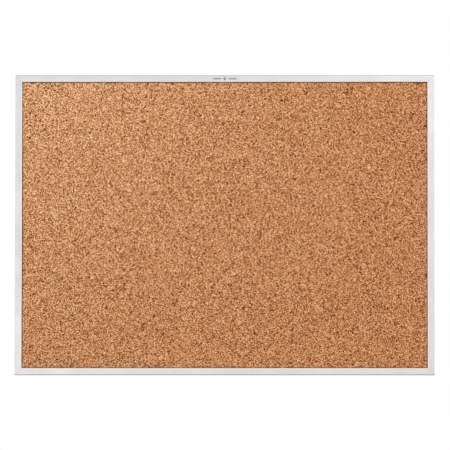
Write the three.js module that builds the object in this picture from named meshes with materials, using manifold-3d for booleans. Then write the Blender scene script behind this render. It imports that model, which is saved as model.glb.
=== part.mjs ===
// A wall-hung cork bulletin board, 914 x 655 x 22 mm: a cork face on a fibreboard core in a mitred frame.
//
// The frame is a sectional one. Four lengths of one aluminium extrusion meet at 45 degree mitres, and an
// L-shaped key in the hardware channel of each corner draws them together with two set screws. Bowed springs
// between the extrusion's web and the back of the panel press the cork forward against the front flange.
// Four keyhole hangers, each clamped to the channel's lips by a screw and a slide nut, move along the top and
// bottom rails to meet the screws in the wall.
//
// The part's frame, in millimetres: X to the right as the board is seen, Z up, and the front facing -Y. The
// wall is the plane y = 0, and the origin is the middle of the board on that plane.
//
// Within one rail, three lengths say where anything is: ALONG the rail from its middle, INWARD from the
// board's outer edge, and DEPTH from the wall. Rails, corners and hangers are each drawn once, in the bottom
// rail's place or in the bottom left corner's, and turned about Y into the others.

import * as THREE from "three";
import { mergeVertices } from "three/addons/utils/BufferGeometryUtils.js";
import Module from "manifold-3d";

const wasm = await Module();
wasm.setup();

// ---------------------------------------------------------------- driving dimensions

const BOARD_WIDTH = 914;
const BOARD_HEIGHT = 655;
const FRAME_DEPTH = 22; // from the wall to the front of the frame
const FACE_WIDTH = 15; // of the frame as it shows from the front
const WALL = 1.25; // thickness of every wall of the extrusion
const MITRE_GAP = 0.125; // taken off each end, so that two mitres meet with a hairline

// The extrusion's hardware channel, open to the back.
const FOOT_REACH = 3; // the foot that bears on the wall
const CHANNEL_LIP_DEPTH = 3; // from the wall to the back of the two lips
const CHANNEL_REACH = 13; // from the outer edge to the inner side of the channel's inner wall
const CHANNEL_FLOOR = 7.5; // from the wall to the back of the web
const OUTER_LIP = 3.5; // how far the outer lip reaches over the channel
const INNER_LIP = 2.25; // shorter, so that a screw's head in the mouth clears the foot
const MOUTH_MIDDLE = (OUTER_LIP + CHANNEL_REACH - INNER_LIP) / 2; // middle of the slot between the lips

// The front flange.
const FLANGE_LIP_DROP = 2.75; // from the front of the flange to the foot of its inner lip
const OUTER_ROUND = 2; // radius of the frame's outer front edge
const INNER_ROUND = 0.75; // radius of its inner front edge

// The panel, from front to back.
const PANEL_CLEARANCE = 1; // between the panel's edge and the frame's outer wall
const FRONT_CLEARANCE = 0.25; // between the cork and the flange's lip
const BACKING_INSET = 0.5; // the paper is cut a little smaller than the core
const CORK_THICKNESS = 2.5;
const CORE_THICKNESS = 6;
const BACKING_THICKNESS = 0.5;

// Corner keys, their shims and set screws.
const KEY_ARM = 48;
const KEY_THICKNESS = 1.5;
const SHIM_ARM = 44;
const SHIM_THICKNESS = 0.75;
const KEY_SIDE_GAP = 0.5; // between a key and the channel's walls
const KEY_LIP_GAP = 0.25; // between a key and the channel's lips
const KEY_CHAMFER = 2;
const KEY_SCREW_ALONG = 33; // from the board's outer corner
const REST_GAP = 0.1; // between pieces that bear on each other
const SCREW_RADIUS = 2; // M4
const SCREW_HOLE_RADIUS = 2.25;
const SLOT_WIDTH = 0.8;
const SLOT_DEPTH = 0.9;

// Panel springs.
const SPRING_LENGTH = 52;
const SPRING_WIDTH = 14;
const SPRING_THICKNESS = 0.4;
const SPRING_START = 3.5; // inward from the board's outer edge

// Keyhole hangers.
const HANGER_ALONG = 300; // from the middle of the rail, as stored
const HANGER_WIDTH = 28;
const HANGER_START = 4.25; // inward from the board's outer edge
const HANGER_END = 42;
const HANGER_DEPTH = 1.5; // from the wall to the back of the plate
const HANGER_THICKNESS = 1.25;
const HANGER_ROUND = 5;
const KEYHOLE_INWARD = 27; // middle of the keyhole
const KEYHOLE_RADIUS = 5; // lets the head of a wall screw in
const KEYHOLE_SLOT = 5; // width of the slot that its shank slides up
const KEYHOLE_TRAVEL = 7.5; // from the middle of the keyhole to the middle of the slot's round end
const NUT_LENGTH = 22;
const NUT_THICKNESS = 2;
const HEAD_RADIUS = 3.75;
const HEAD_HEIGHT = 1.15;
const HEAD_DEPTH = 0.25; // from the wall to the top of the head
const CROSS_REACH = 2.3; // of the recess for the screwdriver, from the middle of the head
const CROSS_DEPTH = 0.7;
const SHANK_END = 7;

// How finely round outlines are drawn: steps to each arc or curve.
const EDGE_SEGMENTS = 5;
const PLATE_SEGMENTS = 8;
const SPRING_SEGMENTS = 12;
const BAR_SIDES = 24;
const MERGE_DISTANCE = 1e-4; // vertices closer than this are one

// ---------------------------------------------------------------- finishes

const ANODISED = { color: 0xd9dadc, roughness: 0.38, metalness: 1 };
const ZINC = { color: 0xb9bcc0, roughness: 0.35, metalness: 1 };
const BLACK_OXIDE = { color: 0x2a2a2c, roughness: 0.5, metalness: 1 };
const SPRING_STEEL = { color: 0x6f7276, roughness: 0.4, metalness: 1 };
const CORK = { color: 0xc08a5e, roughness: 0.9, metalness: 0 };
const FIBREBOARD = { color: 0xa98a66, roughness: 0.95, metalness: 0 };
const KRAFT = { color: 0xb08d63, roughness: 0.85, metalness: 0 };

// ---------------------------------------------------------------- helpers

const board = new THREE.Group();

function addPiece(group, name, geometry, finish) {
  const mesh = new THREE.Mesh(geometry, new THREE.MeshStandardMaterial(finish));
  mesh.name = name;
  group.add(mesh);
  return mesh;
}

// Axes of a rail's own group: X along it, -Y to the front, Z inward.
const ALONG = new THREE.Vector3(1, 0, 0);
const FORWARD = new THREE.Vector3(0, -1, 0);
const INWARD = new THREE.Vector3(0, 0, 1);
const OUTWARD = new THREE.Vector3(0, 0, -1);

const outline = (points) => new THREE.Shape(points.map(([across, up]) => new THREE.Vector2(across, up)));

const extrude = (shape, depth, curveSegments) =>
  new THREE.ExtrudeGeometry(shape, { depth, bevelEnabled: false, steps: 1, curveSegments });

// A flat plate cut to a shape drawn as (along, inward), from one depth to a greater one.
function plate(shape, depth, thickness) {
  const geometry = extrude(shape, thickness, PLATE_SEGMENTS);
  geometry.applyMatrix4(new THREE.Matrix4().makeBasis(ALONG, INWARD, FORWARD));
  return geometry.translate(0, -depth, 0);
}

// A round bar that stands on the board's depth: the radius, and the depths where it starts and ends.
function bar(radius, start, end) {
  const geometry = new THREE.CylinderGeometry(radius, radius, end - start, BAR_SIDES);
  return geometry.translate(0, -(start + end) / 2, 0);
}

// A block between a low and a high value of each length.
function block(along, depth, inward) {
  const sizes = [along, depth, inward].map(([low, high]) => high - low);
  const middles = [along, depth, inward].map(([low, high]) => (low + high) / 2);
  return new THREE.BoxGeometry(...sizes).translate(middles[0], -middles[1], middles[2]);
}

// Booleans between closed geometries.
function toSolid(geometry) {
  const bare = geometry.clone();
  bare.deleteAttribute("normal");
  bare.deleteAttribute("uv");
  const merged = mergeVertices(bare, MERGE_DISTANCE);
  const vertProperties = merged.attributes.position.array;
  const triVerts = new Uint32Array(merged.index.array);
  return new wasm.Manifold(new wasm.Mesh({ numProp: 3, vertProperties, triVerts }));
}

function toGeometry(solid) {
  const { numProp, vertProperties, triVerts } = solid.getMesh();
  const geometry = new THREE.BufferGeometry();
  geometry.setAttribute("position", new THREE.BufferAttribute(vertProperties, numProp));
  geometry.setIndex(new THREE.BufferAttribute(triVerts, 1));
  return geometry;
}

const join = (a, b) => toGeometry(toSolid(a).add(toSolid(b)));
const cut = (a, b) => toGeometry(toSolid(a).subtract(toSolid(b)));

function circleHole(along, inward, radius) {
  return new THREE.Path().absarc(along, inward, radius, 0, 2 * Math.PI, true);
}

// ---------------------------------------------------------------- the four sides and the four corners

const SIDES = [
  { name: "bottom", turn: 0, x: 0, z: -BOARD_HEIGHT / 2, length: BOARD_WIDTH, springs: 4, hangers: true },
  { name: "top", turn: Math.PI, x: 0, z: BOARD_HEIGHT / 2, length: BOARD_WIDTH, springs: 4, hangers: true },
  { name: "left", turn: Math.PI / 2, x: -BOARD_WIDTH / 2, z: 0, length: BOARD_HEIGHT, springs: 3 },
  { name: "right", turn: -Math.PI / 2, x: BOARD_WIDTH / 2, z: 0, length: BOARD_HEIGHT, springs: 3 },
];

const CORNERS = [
  { name: "bottom_left", turn: 0, x: -BOARD_WIDTH / 2, z: -BOARD_HEIGHT / 2 },
  { name: "top_left", turn: Math.PI / 2, x: -BOARD_WIDTH / 2, z: BOARD_HEIGHT / 2 },
  { name: "top_right", turn: Math.PI, x: BOARD_WIDTH / 2, z: BOARD_HEIGHT / 2 },
  { name: "bottom_right", turn: -Math.PI / 2, x: BOARD_WIDTH / 2, z: -BOARD_HEIGHT / 2 },
];

function placed({ turn, x, z }) {
  const group = new THREE.Group();
  group.position.set(x, 0, z);
  group.rotation.y = turn;
  board.add(group);
  return group;
}

// ---------------------------------------------------------------- frame rails

// The extrusion's section, drawn as (inward, depth).
function railSection() {
  const channelEnd = CHANNEL_REACH - WALL;
  const lipFront = CHANNEL_LIP_DEPTH + WALL;
  const webFront = CHANNEL_FLOOR + WALL;
  const flangeBack = FRAME_DEPTH - WALL;
  const flangeLip = FRAME_DEPTH - FLANGE_LIP_DROP;
  const section = outline([
    [0, 0],
    [FOOT_REACH, 0],
    [FOOT_REACH, WALL],
    [WALL, WALL],
    [WALL, CHANNEL_LIP_DEPTH],
    [WALL + OUTER_LIP, CHANNEL_LIP_DEPTH],
    [WALL + OUTER_LIP, lipFront],
    [WALL, lipFront],
    [WALL, CHANNEL_FLOOR],
    [channelEnd, CHANNEL_FLOOR],
    [channelEnd, lipFront],
    [channelEnd - INNER_LIP, lipFront],
    [channelEnd - INNER_LIP, CHANNEL_LIP_DEPTH],
    [CHANNEL_REACH, CHANNEL_LIP_DEPTH],
    [CHANNEL_REACH, webFront],
    [WALL, webFront],
    [WALL, flangeBack],
    [FACE_WIDTH - WALL, flangeBack],
    [FACE_WIDTH - WALL, flangeLip],
    [FACE_WIDTH, flangeLip],
  ]);
  section.absarc(FACE_WIDTH - INNER_ROUND, FRAME_DEPTH - INNER_ROUND, INNER_ROUND, 0, Math.PI / 2, false);
  section.absarc(OUTER_ROUND, FRAME_DEPTH - OUTER_ROUND, OUTER_ROUND, Math.PI / 2, Math.PI, false);
  section.closePath();
  return section;
}

// One rail with both ends mitred: each end moves in along the rail by as much as a point lies inward.
function railGeometry(length) {
  const geometry = extrude(railSection(), length, EDGE_SEGMENTS);
  const position = geometry.getAttribute("position");
  for (let i = 0; i < position.count; i++) {
    const mitre = position.getX(i) + MITRE_GAP;
    position.setZ(i, position.getZ(i) > 0 ? length - mitre : mitre);
  }
  geometry.translate(0, 0, -length / 2);
  return geometry.applyMatrix4(new THREE.Matrix4().makeBasis(INWARD, FORWARD, ALONG));
}

// ---------------------------------------------------------------- panel: cork, core and backing

// One layer of the panel. The inset keeps its edge further from the frame than the panel's clearance does.
function addLayer(name, finish, front, thickness, inset) {
  const margin = WALL + PANEL_CLEARANCE + inset;
  const sheet = new THREE.BoxGeometry(BOARD_WIDTH - 2 * margin, thickness, BOARD_HEIGHT - 2 * margin);
  addPiece(board, name, sheet, finish).position.y = thickness / 2 - front;
}

const CORK_FRONT = FRAME_DEPTH - FLANGE_LIP_DROP - FRONT_CLEARANCE;
const CORE_FRONT = CORK_FRONT - CORK_THICKNESS;
const BACKING_FRONT = CORE_FRONT - CORE_THICKNESS;
const PANEL_BACK = BACKING_FRONT - BACKING_THICKNESS;

function addPanel() {
  addLayer("cork_sheet", CORK, CORK_FRONT, CORK_THICKNESS, 0);
  addLayer("fibreboard_core", FIBREBOARD, CORE_FRONT, CORE_THICKNESS, 0);
  addLayer("backing_paper", KRAFT, BACKING_FRONT, BACKING_THICKNESS, BACKING_INSET);
}

// ---------------------------------------------------------------- corner keys, shims and set screws

// Where a key or a nut starts and ends between the channel's walls.
const FIT_START = WALL + KEY_SIDE_GAP;
const FIT_END = CHANNEL_REACH - WALL - KEY_SIDE_GAP;

const KEY_DEPTH = CHANNEL_LIP_DEPTH + WALL + KEY_LIP_GAP;
const SHIM_DEPTH = CHANNEL_FLOOR - REST_GAP - SHIM_THICKNESS;

// An L whose arms run along and inward from the outer corner.
function angleShape(arm) {
  const [near, far] = [FIT_START, FIT_END];
  return outline([
    [near + KEY_CHAMFER, near],
    [arm - KEY_CHAMFER, near],
    [arm, near + KEY_CHAMFER],
    [arm, far - KEY_CHAMFER],
    [arm - KEY_CHAMFER, far],
    [far, far],
    [far, arm - KEY_CHAMFER],
    [far - KEY_CHAMFER, arm],
    [near + KEY_CHAMFER, arm],
    [near, arm - KEY_CHAMFER],
    [near, near + KEY_CHAMFER],
  ]);
}

// A headless screw, slotted at the back, that pushes on the shim to draw its key against the lips.
function setScrew() {
  const [start, end] = [CHANNEL_LIP_DEPTH + KEY_LIP_GAP, SHIM_DEPTH - REST_GAP];
  const across = [-2 * SCREW_RADIUS, 2 * SCREW_RADIUS];
  const slot = block(across, [0, start + SLOT_DEPTH], [-SLOT_WIDTH / 2, SLOT_WIDTH / 2]);
  return cut(bar(SCREW_RADIUS, start, end), slot);
}

function addCorner(corner) {
  const group = placed(corner);
  const screwPlaces = [
    [KEY_SCREW_ALONG, MOUTH_MIDDLE],
    [MOUTH_MIDDLE, KEY_SCREW_ALONG],
  ];
  const key = angleShape(KEY_ARM);
  key.holes.push(...screwPlaces.map(([along, inward]) => circleHole(along, inward, SCREW_HOLE_RADIUS)));
  addPiece(group, `corner_key_${corner.name}`, plate(key, KEY_DEPTH, KEY_THICKNESS), ZINC);
  const shim = plate(angleShape(SHIM_ARM), SHIM_DEPTH, SHIM_THICKNESS);
  addPiece(group, `corner_shim_${corner.name}`, shim, ZINC);
  screwPlaces.forEach(([along, inward], i) => {
    const screw = addPiece(group, `key_screw_${corner.name}_${"ab"[i]}`, setScrew(), BLACK_OXIDE);
    screw.position.set(along, 0, inward);
  });
}

// ---------------------------------------------------------------- panel springs

// A bowed strip, drawn as (along, depth): its middle bears on the web, and its ends on the backing.
function springGeometry() {
  const middle = CHANNEL_FLOOR + WALL + REST_GAP;
  const ends = PANEL_BACK - REST_GAP - SPRING_THICKNESS;
  const pull = 2 * middle - ends; // the control point that brings the curve's middle to the web
  const half = SPRING_LENGTH / 2;
  const bow = new THREE.Shape();
  bow.moveTo(-half, ends);
  bow.quadraticCurveTo(0, pull, half, ends);
  bow.lineTo(half, ends + SPRING_THICKNESS);
  bow.quadraticCurveTo(0, pull + SPRING_THICKNESS, -half, ends + SPRING_THICKNESS);
  bow.closePath();
  const geometry = extrude(bow, SPRING_WIDTH, SPRING_SEGMENTS);
  geometry.applyMatrix4(new THREE.Matrix4().makeBasis(ALONG, FORWARD, OUTWARD));
  return geometry.translate(0, 0, SPRING_START + SPRING_WIDTH);
}

// ---------------------------------------------------------------- keyhole hangers

// A round hole with a slot running both ways, so that one plate serves the top and the bottom rail.
function keyhole() {
  const half = KEYHOLE_SLOT / 2;
  const shoulder = Math.acos(half / KEYHOLE_RADIUS); // where the slot's sides meet the round hole
  const hole = new THREE.Path();
  hole.absarc(0, KEYHOLE_INWARD, KEYHOLE_RADIUS, shoulder, -shoulder, true);
  hole.absarc(0, KEYHOLE_INWARD - KEYHOLE_TRAVEL, half, 0, -Math.PI, true);
  hole.absarc(0, KEYHOLE_INWARD, KEYHOLE_RADIUS, Math.PI + shoulder, Math.PI - shoulder, true);
  hole.absarc(0, KEYHOLE_INWARD + KEYHOLE_TRAVEL, half, Math.PI, 0, true);
  hole.closePath();
  return hole;
}

function hangerPlate() {
  const corner = HANGER_WIDTH / 2 - HANGER_ROUND;
  const roundStart = HANGER_END - HANGER_ROUND;
  const shape = new THREE.Shape();
  shape.moveTo(-HANGER_WIDTH / 2, HANGER_START);
  shape.lineTo(HANGER_WIDTH / 2, HANGER_START);
  shape.absarc(corner, roundStart, HANGER_ROUND, 0, Math.PI / 2, false);
  shape.absarc(-corner, roundStart, HANGER_ROUND, Math.PI / 2, Math.PI, false);
  shape.closePath();
  shape.holes.push(circleHole(0, MOUTH_MIDDLE, SCREW_HOLE_RADIUS), keyhole());
  return plate(shape, HANGER_DEPTH, HANGER_THICKNESS);
}

// The nut slides in the channel, in front of its lips.
function slideNut() {
  const shape = outline([
    [-NUT_LENGTH / 2, FIT_START],
    [NUT_LENGTH / 2, FIT_START],
    [NUT_LENGTH / 2, FIT_END],
    [-NUT_LENGTH / 2, FIT_END],
  ]);
  shape.holes.push(circleHole(0, MOUTH_MIDDLE, SCREW_HOLE_RADIUS));
  return plate(shape, KEY_DEPTH, NUT_THICKNESS);
}

// A low round head with a cross recess, and a shank that ends short of the web.
function clampScrew() {
  const headEnd = HEAD_DEPTH + HEAD_HEIGHT;
  const head = bar(HEAD_RADIUS, HEAD_DEPTH, headEnd);
  const shank = bar(SCREW_RADIUS, headEnd - HEAD_HEIGHT / 4, SHANK_END);
  const long = [-CROSS_REACH, CROSS_REACH];
  const narrow = [-SLOT_WIDTH / 2, SLOT_WIDTH / 2];
  const depth = [0, HEAD_DEPTH + CROSS_DEPTH];
  const cross = join(block(long, depth, narrow), block(narrow, depth, long));
  return cut(join(head, shank), cross).translate(0, 0, MOUTH_MIDDLE);
}

// The top side is turned half round, so left and right change places along it.
function addHanger(side, hand, handName) {
  const group = placed(side);
  group.translateX(Math.cos(side.turn) * hand * HANGER_ALONG);
  addPiece(group, `hanger_plate_${side.name}_${handName}`, hangerPlate(), ZINC);
  addPiece(group, `hanger_nut_${side.name}_${handName}`, slideNut(), ZINC);
  addPiece(group, `hanger_screw_${side.name}_${handName}`, clampScrew(), ZINC);
}

// ---------------------------------------------------------------- assembly

addPanel();

for (const side of SIDES) {
  const group = placed(side);
  addPiece(group, `${side.name}_rail`, railGeometry(side.length), ANODISED);
  for (let i = 0; i < side.springs; i++) {
    const spring = addPiece(group, `panel_spring_${side.name}_${i + 1}`, springGeometry(), SPRING_STEEL);
    spring.position.x = side.length * ((i + 0.5) / side.springs - 0.5);
  }
}

for (const corner of CORNERS) addCorner(corner);

for (const side of SIDES.filter(({ hangers }) => hangers)) {
  addHanger(side, -1, "left");
  addHanger(side, 1, "right");
}

export default board;
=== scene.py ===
# %% [markdown]
# # A cork bulletin board
#
# This notebook dresses an engineering model of a wall-hung cork bulletin board. The model already holds
# every piece at its real size: four aluminium rails, a panel of cork, softboard and paper, and the hardware
# behind them. What it lacks is the look of the materials and the small roundings that tools leave on edges.
#
# Lengths are in metres, the board faces -Y, and the wall is the plane y = 0.

# %% Load the board
import math

import bmesh
import bpy
import numpy as np
from mathutils import Matrix, Vector


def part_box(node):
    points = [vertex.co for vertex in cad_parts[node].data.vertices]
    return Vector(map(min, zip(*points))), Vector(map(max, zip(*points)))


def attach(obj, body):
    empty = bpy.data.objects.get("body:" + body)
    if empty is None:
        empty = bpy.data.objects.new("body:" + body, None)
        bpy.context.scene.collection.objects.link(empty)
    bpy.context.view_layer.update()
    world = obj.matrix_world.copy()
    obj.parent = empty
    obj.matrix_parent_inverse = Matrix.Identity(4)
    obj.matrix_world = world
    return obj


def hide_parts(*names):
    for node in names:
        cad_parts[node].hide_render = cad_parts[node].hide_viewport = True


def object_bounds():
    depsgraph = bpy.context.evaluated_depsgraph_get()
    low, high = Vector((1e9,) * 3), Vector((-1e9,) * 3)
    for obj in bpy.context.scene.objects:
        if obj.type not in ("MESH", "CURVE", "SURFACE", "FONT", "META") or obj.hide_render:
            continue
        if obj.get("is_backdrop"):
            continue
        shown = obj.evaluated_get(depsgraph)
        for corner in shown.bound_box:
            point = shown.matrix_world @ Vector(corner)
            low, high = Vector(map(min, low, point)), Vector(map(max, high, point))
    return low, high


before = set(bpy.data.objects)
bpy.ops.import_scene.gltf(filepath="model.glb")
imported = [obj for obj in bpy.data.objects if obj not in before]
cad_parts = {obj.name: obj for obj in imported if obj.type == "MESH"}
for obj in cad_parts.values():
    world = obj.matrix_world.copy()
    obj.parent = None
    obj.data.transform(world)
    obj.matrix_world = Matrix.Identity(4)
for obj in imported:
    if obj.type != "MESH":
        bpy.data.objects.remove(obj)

cad_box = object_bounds()
board_low, board_high = cad_box
half_width = board_high.x
half_height = board_high.z
face_depth = -board_low.y
FACE_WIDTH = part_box("bottom_rail")[1].z + half_height
print(f"board {2 * half_width:.3f} x {2 * half_height:.3f} m, {face_depth:.3f} m deep")

# %% [markdown]
# ## Camera
#
# A long lens from far in front keeps the sides of a board parallel. A camera could be turned by hand until
# the frame looks square; here it is set on a sphere round the board's middle instead, because then a tenth
# of a degree of tilt is one number. It stands a little low, and so the bottom rail shows its underside.

# %% Set up the camera
CAMERA_DISTANCE = 14
SENSOR_WIDTH = 36  # millimetres
VIEW_WIDTH = 0.9809  # what the view spans at the board's face
CAMERA_AZIMUTH = math.radians(0.7)
CAMERA_ELEVATION = math.radians(-4.3)
CAMERA_ROLL = math.radians(0.05)
VIEW_SHIFT = Vector((0.0008, 0, -0.0006))  # centres the board with its underside

camera_data = bpy.data.cameras.new("camera")
camera_data.sensor_width = SENSOR_WIDTH
camera_data.lens = SENSOR_WIDTH * CAMERA_DISTANCE / VIEW_WIDTH
camera = bpy.data.objects.new("camera", camera_data)
bpy.context.scene.collection.objects.link(camera)
bpy.context.scene.camera = camera

face_middle = Vector((0, -face_depth, 0))
outward = Vector(
    (
        math.sin(CAMERA_AZIMUTH) * math.cos(CAMERA_ELEVATION),
        -math.cos(CAMERA_AZIMUTH) * math.cos(CAMERA_ELEVATION),
        math.sin(CAMERA_ELEVATION),
    )
)
camera.location = face_middle + CAMERA_DISTANCE * outward + VIEW_SHIFT
level = (-outward).to_track_quat("-Z", "Y").to_matrix()
camera.rotation_euler = (level @ Matrix.Rotation(CAMERA_ROLL, 3, "Z")).to_euler()
print(f"lens {camera_data.lens:.1f} mm, camera {CAMERA_DISTANCE} m from the face")

# %% [markdown]
# ## A way to write materials
#
# Blender's materials are graphs of nodes, and a graph built by hand is slow to read. The two small classes
# below let a graph be written as sums. A `Wire` is one output of a node: adding, multiplying or comparing
# wires adds the Math nodes that do it. A `Recipe` is a tree of nodes, and its one method `node` adds any
# other kind of node, with its settings first and then its sockets.

# %% Wires and recipes
class Wire:
    """One output of a node. Sums of wires and numbers add Math nodes."""

    def __init__(self, tree, socket):
        self.tree = tree
        self.socket = socket

    def sum(self, operation, *terms):
        node = self.tree.nodes.new("ShaderNodeMath")
        node.operation = operation
        for socket, term in zip(node.inputs, terms):
            plug(self.tree, socket, term)
        return Wire(self.tree, node.outputs[0])

    def __add__(self, other):
        return self.sum("ADD", self, other)

    def __radd__(self, other):
        return self.sum("ADD", other, self)

    def __sub__(self, other):
        return self.sum("SUBTRACT", self, other)

    def __rsub__(self, other):
        return self.sum("SUBTRACT", other, self)

    def __mul__(self, other):
        return self.sum("MULTIPLY", self, other)

    def __rmul__(self, other):
        return self.sum("MULTIPLY", other, self)

    def __truediv__(self, other):
        return self.sum("DIVIDE", self, other)

    def __pow__(self, power):
        return self.sum("POWER", self, power)

    def __gt__(self, other):
        return self.sum("GREATER_THAN", self, other)

    def size(self):
        """The value without its sign."""
        return self.sum("ABSOLUTE", self)

    def kept(self, low=0.0, high=1.0):
        """The value, held between two limits."""
        return self.sum("MAXIMUM", self.sum("MINIMUM", self, high), low)

    def past(self, start, steepness):
        """A mask that is 0 up to `start` and then climbs to 1 at that steepness."""
        return ((self - start) * steepness).kept()


def plug(tree, socket, value):
    """Links a wire to a socket, or sets the socket to a plain value."""
    if isinstance(value, Wire):
        tree.links.new(value.socket, socket)
    else:
        socket.default_value = value


def pick(sockets, key):
    """The socket with that identifier or that name."""
    return next(socket for socket in sockets if key in (socket.identifier, socket.name))


class Recipe:
    """The node tree of a material or a world, written from the start."""

    def __init__(self, owner):
        owner.use_nodes = True
        self.tree = owner.node_tree
        self.tree.nodes.clear()

    def node(self, kind, settings, inputs, output=None):
        """Adds a node: its settings are set first, then its sockets. Gives the named output."""
        node = self.tree.nodes.new(kind)
        for setting, value in settings.items():
            if setting == "stops":
                set_stops(node.color_ramp, value)
            else:
                setattr(node, setting, value)
        for key, value in inputs.items():
            plug(self.tree, pick(node.inputs, key), value)
        return Wire(self.tree, pick(node.outputs, output)) if output else node


def set_stops(ramp, stops):
    """Gives a colour ramp its stops, each a position and a colour."""
    while len(ramp.elements) > 1:
        ramp.elements.remove(ramp.elements[-1])
    ramp.elements[0].position, ramp.elements[0].color = stops[0]
    for position, colour in stops[1:]:
        ramp.elements.new(position).color = colour


# %% [markdown]
# A few habits come back in every finish: reading the place on the piece, stretching or bending that place,
# laying noise over it, mixing two colours by a mask, and raising a relief. Each is a short function on a
# recipe. The scale of a noise is how many of its clouds fit in a metre.
#
# Colours are named as they look on a screen, from 0 to 255, and turned into the linear light that Blender
# sums.

# %% Shared shader helpers
def seen(red, green, blue):
    """A colour as it looks on a screen, as linear light with full opacity."""
    shares = [channel / 255 for channel in (red, green, blue)]
    return (*[s / 12.92 if s <= 0.04045 else ((s + 0.055) / 1.055) ** 2.4 for s in shares], 1.0)


def place_on_piece(recipe):
    """The place on the piece, in metres, along the piece's own axes."""
    return recipe.node("ShaderNodeTexCoord", {}, {}, "Object")


def stretched(recipe, place, along, depth, inward):
    """The place multiplied axis by axis, which sets how fine a pattern is each way."""
    terms = {"Vector": place, "Vector_001": (along, depth, inward)}
    return recipe.node("ShaderNodeVectorMath", {"operation": "MULTIPLY"}, terms, "Vector")


def noise(recipe, place, scale, detail=2.0, roughness=0.5, output="Fac"):
    """Cloudy noise from 0 to 1 that averages a half."""
    inputs = {"Vector": place, "Scale": scale, "Detail": detail, "Roughness": roughness}
    return recipe.node("ShaderNodeTexNoise", {}, inputs, output)


def bent(recipe, spot, scale, reach):
    """The place pushed about by noise, up to that reach in metres."""
    push = noise(recipe, spot, scale, 2, output="Color")
    terms = {"Vector": push, "Vector_001": (reach,) * 3, "Vector_002": spot}
    return recipe.node("ShaderNodeVectorMath", {"operation": "MULTIPLY_ADD"}, terms, "Vector")


def mixed(recipe, mask, under, over, how="MIX"):
    """Colour `over` laid on colour `under` where the mask is 1."""
    settings = {"data_type": "RGBA", "blend_type": how}
    inputs = {"Factor_Float": mask, "A_Color": under, "B_Color": over}
    return recipe.node("ShaderNodeMix", settings, inputs, "Result_Color")


def raised(recipe, height, distance, strength=1.0):
    """The surface normal bent by a height from 0 to 1 that stands for a distance in metres."""
    inputs = {"Height": height, "Distance": distance, "Strength": strength}
    return recipe.node("ShaderNodeBump", {}, inputs, "Normal")


def finished(name, write):
    """A material whose surface is the Principled shader, with the sockets that `write` gives it."""
    material = bpy.data.materials.new(name)
    recipe = Recipe(material)
    surface = recipe.node("ShaderNodeBsdfPrincipled", {}, write(recipe), "BSDF")
    recipe.node("ShaderNodeOutputMaterial", {}, {"Surface": surface})
    print(f"{name}: {len(recipe.tree.nodes)} nodes")
    return material


# %% [markdown]
# ## Light
#
# The board hangs in a white studio. An even white world alone would leave it flat, so the world glows more
# in front and at the sides than behind, and least above and below. The rails' flat faces then look pale,
# and the edges that face up or down a little darker. The camera itself sees plain white behind the board.
#
# Soft lamps add direction. One stands near the upper left, so that the cork falls off towards the lower
# right. It is tinted pale blue, as a soft sheen on the cork would look there. One shines down from the
# upper right, so that the frame throws a thin shadow on the cork below it. Two wide ones show only as soft
# reflections in the metal, towards the upper right and the lower left. The last stands behind, for when the
# board is turned round.

# %% Light the studio
FRONT_GLOW = 0.8
REAR_GLOW = 0.62
SIDE_GLOW = 0.74
UP_AND_DOWN_GLOW = 0.36

world = bpy.data.worlds.new("studio")
bpy.context.scene.world = world
studio = Recipe(world)
direction = studio.node("ShaderNodeTexCoord", {}, {}, "Generated")
parts = studio.node("ShaderNodeSeparateXYZ", {}, {"Vector": direction})
sideways, backward, upward = [Wire(studio.tree, pick(parts.outputs, axis)) for axis in "XYZ"]
glow = SIDE_GLOW * sideways * sideways + UP_AND_DOWN_GLOW * upward * upward
glow = glow + REAR_GLOW * backward.kept() ** 2 + FRONT_GLOW * (0 - backward).kept() ** 2
shown = {"Color": seen(253, 254, 255), "Strength": glow}
lighting = studio.node("ShaderNodeBackground", {}, shown, "Background")
plain = {"Color": seen(255, 255, 255), "Strength": 1.0}
backdrop = studio.node("ShaderNodeBackground", {}, plain, "Background")
to_camera = studio.node("ShaderNodeLightPath", {}, {}, "Is Camera Ray")
both = {"Fac": to_camera, "Shader": lighting, "Shader_001": backdrop}
sky = studio.node("ShaderNodeMixShader", {}, both, "Shader")
studio.node("ShaderNodeOutputWorld", {}, {"Surface": sky})


def add_lamp(name, place, size, power, colour=(1, 1, 1), mirrored=False):
    """A square soft lamp that points at the board. It is mirrored in the metal, or else lights the rest."""
    data = bpy.data.lights.new(name, "AREA")
    data.size = size
    data.energy = power
    data.color = colour
    lamp = bpy.data.objects.new(name, data)
    lamp.location = place
    lamp.rotation_euler = (face_middle - lamp.location).to_track_quat("-Z", "Y").to_euler()
    lamp.visible_glossy = mirrored
    lamp.visible_diffuse = not mirrored
    lamp.visible_camera = False
    bpy.context.scene.collection.objects.link(lamp)
    print(f"{name}: {power} W, {lamp.location.length:.2f} m from the board")


add_lamp("near_lamp", Vector((-1.2, -0.9, 0.95)), 0.5, 17, (0.8, 1.45, 2.4))
add_lamp("high_lamp", Vector((2.4, -3.0, 2.8)), 0.4, 76, (1.0, 0.98, 0.95))
add_lamp("rail_lamp", Vector((1.0, -1.2, 1.0)), 1.8, 4, mirrored=True)
add_lamp("low_lamp", Vector((-1.1, -1.3, -0.45)), 1.8, 2, mirrored=True)
add_lamp("rear_lamp", Vector((-1.6, 2.6, 1.4)), 1.0, 70)

bpy.context.scene.view_settings.view_transform = "Standard"
bpy.context.scene.view_settings.look = "None"

# %% [markdown]
# The floor is a pale disc well below the board, as the room's floor is. It is the stage and not a part of
# the board, and it fades out towards its rim so that it doesn't end in a hard line. The near lamp is
# tinted, and its tint would show on the pale floor, so light linking keeps that lamp off the floor.

# %% Lay the floor
FLOOR_BELOW = 0.34
FLOOR_RADIUS = 0.9
FLOOR_FADE = 0.6 * FLOOR_RADIUS


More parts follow.
